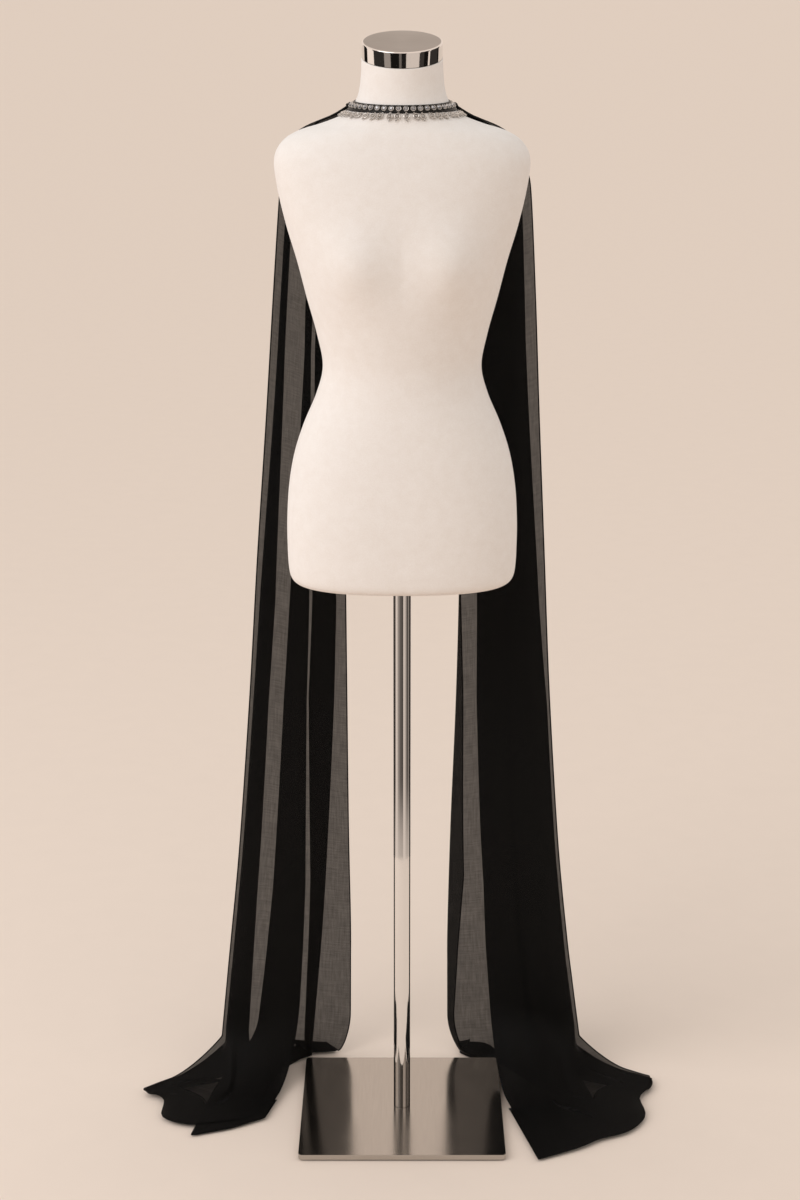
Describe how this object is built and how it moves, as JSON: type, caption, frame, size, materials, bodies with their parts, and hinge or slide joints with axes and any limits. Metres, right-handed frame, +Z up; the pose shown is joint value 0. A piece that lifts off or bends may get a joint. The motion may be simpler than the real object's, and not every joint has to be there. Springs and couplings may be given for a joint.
{
  "type": "dress form mannequin",
  "caption": "Headless female dress form on a chrome pole and square steel base, dressed with a jewelled choker and a sheer two-panel cape",
  "frame": {"origin": "on the floor under the pole's axis, at the centre of the base", "axes": "+Z up along the pole, -Y the way the form faces, +X its left-hand side"},
  "size_m": [0.812, 0.38, 1.6305],
  "materials": {
    "brushed_steel": "satin, brushed one way",
    "mild_steel": "mill finish",
    "plated_steel": "zinc plated",
    "chrome": "mirror polished",
    "rubber": "moulded, matt",
    "nylon": "moulded, satin",
    "jersey": "fine brushed jersey, matt",
    "fibreglass": "rough laid-up glass and resin",
    "plywood": "sawn birch plywood",
    "satin": "black satin ribbon",
    "chiffon": "sheer black chiffon",
    "rhinestone": "cut glass in silver cups",
    "silver": "polished white metal"
  },
  "bodies": {
    "stand": {"base_cover": "brushed_steel", "base_weight": "mild_steel", "foot_front_left": "rubber", "foot_front_right": "rubber", "foot_rear_left": "rubber", "foot_rear_right": "rubber", "centre_pad": "rubber", "base_bolt": "plated_steel", "base_washer": "plated_steel", "pole_insert": "mild_steel", "pole": "chrome", "pole_plug": "nylon", "cape_train_left": "chiffon", "cape_train_right": "chiffon"},
    "torso": {"torso_cover": "jersey", "torso_shell": "fibreglass", "bottom_board": "plywood", "flange": "plated_steel", "flange_screw_1": "plated_steel", "flange_screw_2": "plated_steel", "flange_screw_3": "plated_steel", "flange_screw_4": "plated_steel", "sleeve": "plated_steel", "sleeve_bush": "nylon", "clamp_collar": "chrome", "neck_block": "plywood", "neck_cap": "chrome", "cap_washer": "plated_steel", "cap_nut": "plated_steel", "choker_band": "satin", "rhinestone_chain": "rhinestone", "choker_fringe": "silver", "clasp_ring": "silver", "clasp_hook": "silver", "cape_panel_left": "chiffon", "cape_panel_right": "chiffon"},
    "clamp": {"clamp_screw": "plated_steel", "clamp_knob": "nylon"}
  },
  "joints": [
    {"name": "height_slide", "type": "slide", "parent": "stand", "child": "torso", "axis": [0, 0, 1], "range_m": [0, 0.2]},
    {"name": "clamp_turn", "type": "hinge", "parent": "torso", "child": "clamp", "pos_m": [0, 0.03, 0.8504], "axis": [0, 1, 0], "range_deg": [-360, 0]}
  ]
}
